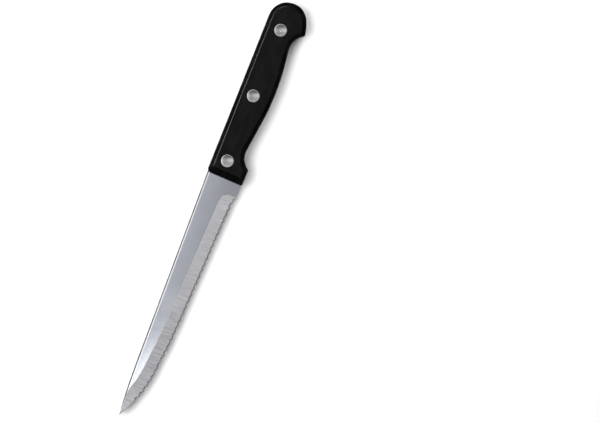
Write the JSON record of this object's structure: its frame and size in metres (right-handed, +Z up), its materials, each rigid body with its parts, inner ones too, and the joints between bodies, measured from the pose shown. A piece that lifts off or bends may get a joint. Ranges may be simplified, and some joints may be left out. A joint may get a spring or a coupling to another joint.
{
  "type": "bread knife",
  "caption": "Small serrated bread knife: a thin full-tang steel blade clamped between moulded black handle scales by domed cutler's rivets.",
  "frame": {"origin": "bottom centre of the box round the knife as it lies on its right handle scale", "axes": "+X from the butt of the handle to the tip, +Y from the spine to the cutting edge, +Z up, out of the blade's left face"},
  "size_m": [0.25, 0.0254, 0.015],
  "materials": {
    "blade_steel": "satin, ground along the blade and across the bevel",
    "handle_plastic": "fine moulded grain, slightly rubbed on the edges",
    "rivet_steel": "satin, turned and polished with the handle"
  },
  "bodies": {
    "root": {"blade": "blade_steel", "left_handle_scale": "handle_plastic", "right_handle_scale": "handle_plastic", "front_rivet_stud": "rivet_steel", "front_rivet_sleeve": "rivet_steel", "middle_rivet_stud": "rivet_steel", "middle_rivet_sleeve": "rivet_steel", "rear_rivet_stud": "rivet_steel", "rear_rivet_sleeve": "rivet_steel"}
  },
  "joints": []
}
